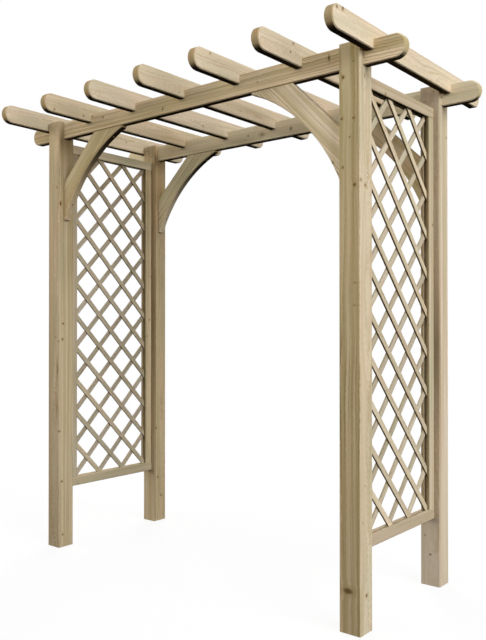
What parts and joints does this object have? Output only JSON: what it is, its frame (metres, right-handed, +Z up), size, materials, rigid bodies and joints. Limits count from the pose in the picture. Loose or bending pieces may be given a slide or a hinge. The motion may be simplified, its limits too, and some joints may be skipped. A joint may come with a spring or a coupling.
{
  "type": "garden arch",
  "caption": "Walk-through timber garden arch for climbing plants: slotted posts, round-ended beams and rafters lapped over each other, curved braces and framed lattice sides.",
  "frame": {"origin": "on the ground, midway between the four posts", "axes": "+X along the beams, across the walkway; +Y along the walkway from front to back; +Z up"},
  "size_m": [2.3398, 1.3598, 2.3875],
  "materials": {
    "post_timber": "planed softwood, pressure treated, faint green tint",
    "board_timber": "planed softwood, pressure treated, faint green tint",
    "panel_timber": "planed softwood, pressure treated",
    "lath_timber": "sawn and sanded softwood, pressure treated",
    "screw_steel": "zinc plated, dull"
  },
  "bodies": {
    "root": {"post_front_left": "post_timber", "post_front_right": "post_timber", "post_back_left": "post_timber", "post_back_right": "post_timber", "beam_front": "board_timber", "beam_back": "board_timber", "rafter_1": "board_timber", "rafter_2": "board_timber", "rafter_3": "board_timber", "rafter_4": "board_timber", "rafter_5": "board_timber", "rafter_6": "board_timber", "rafter_7": "board_timber", "brace_front_left": "board_timber", "brace_front_right": "board_timber", "brace_back_left": "board_timber", "brace_back_right": "board_timber", "left_panel_stile_front": "panel_timber", "left_panel_stile_back": "panel_timber", "left_panel_rail_top": "panel_timber", "left_panel_rail_bottom": "panel_timber", "left_panel_laths_rising": "lath_timber", "left_panel_laths_falling": "lath_timber", "right_panel_stile_front": "panel_timber", "right_panel_stile_back": "panel_timber", "right_panel_rail_top": "panel_timber", "right_panel_rail_bottom": "panel_timber", "right_panel_laths_rising": "lath_timber", "right_panel_laths_falling": "lath_timber", "beam_screws": "screw_steel", "rafter_screws": "screw_steel", "brace_screws": "screw_steel", "panel_screws": "screw_steel", "corner_screws": "screw_steel"}
  },
  "joints": []
}
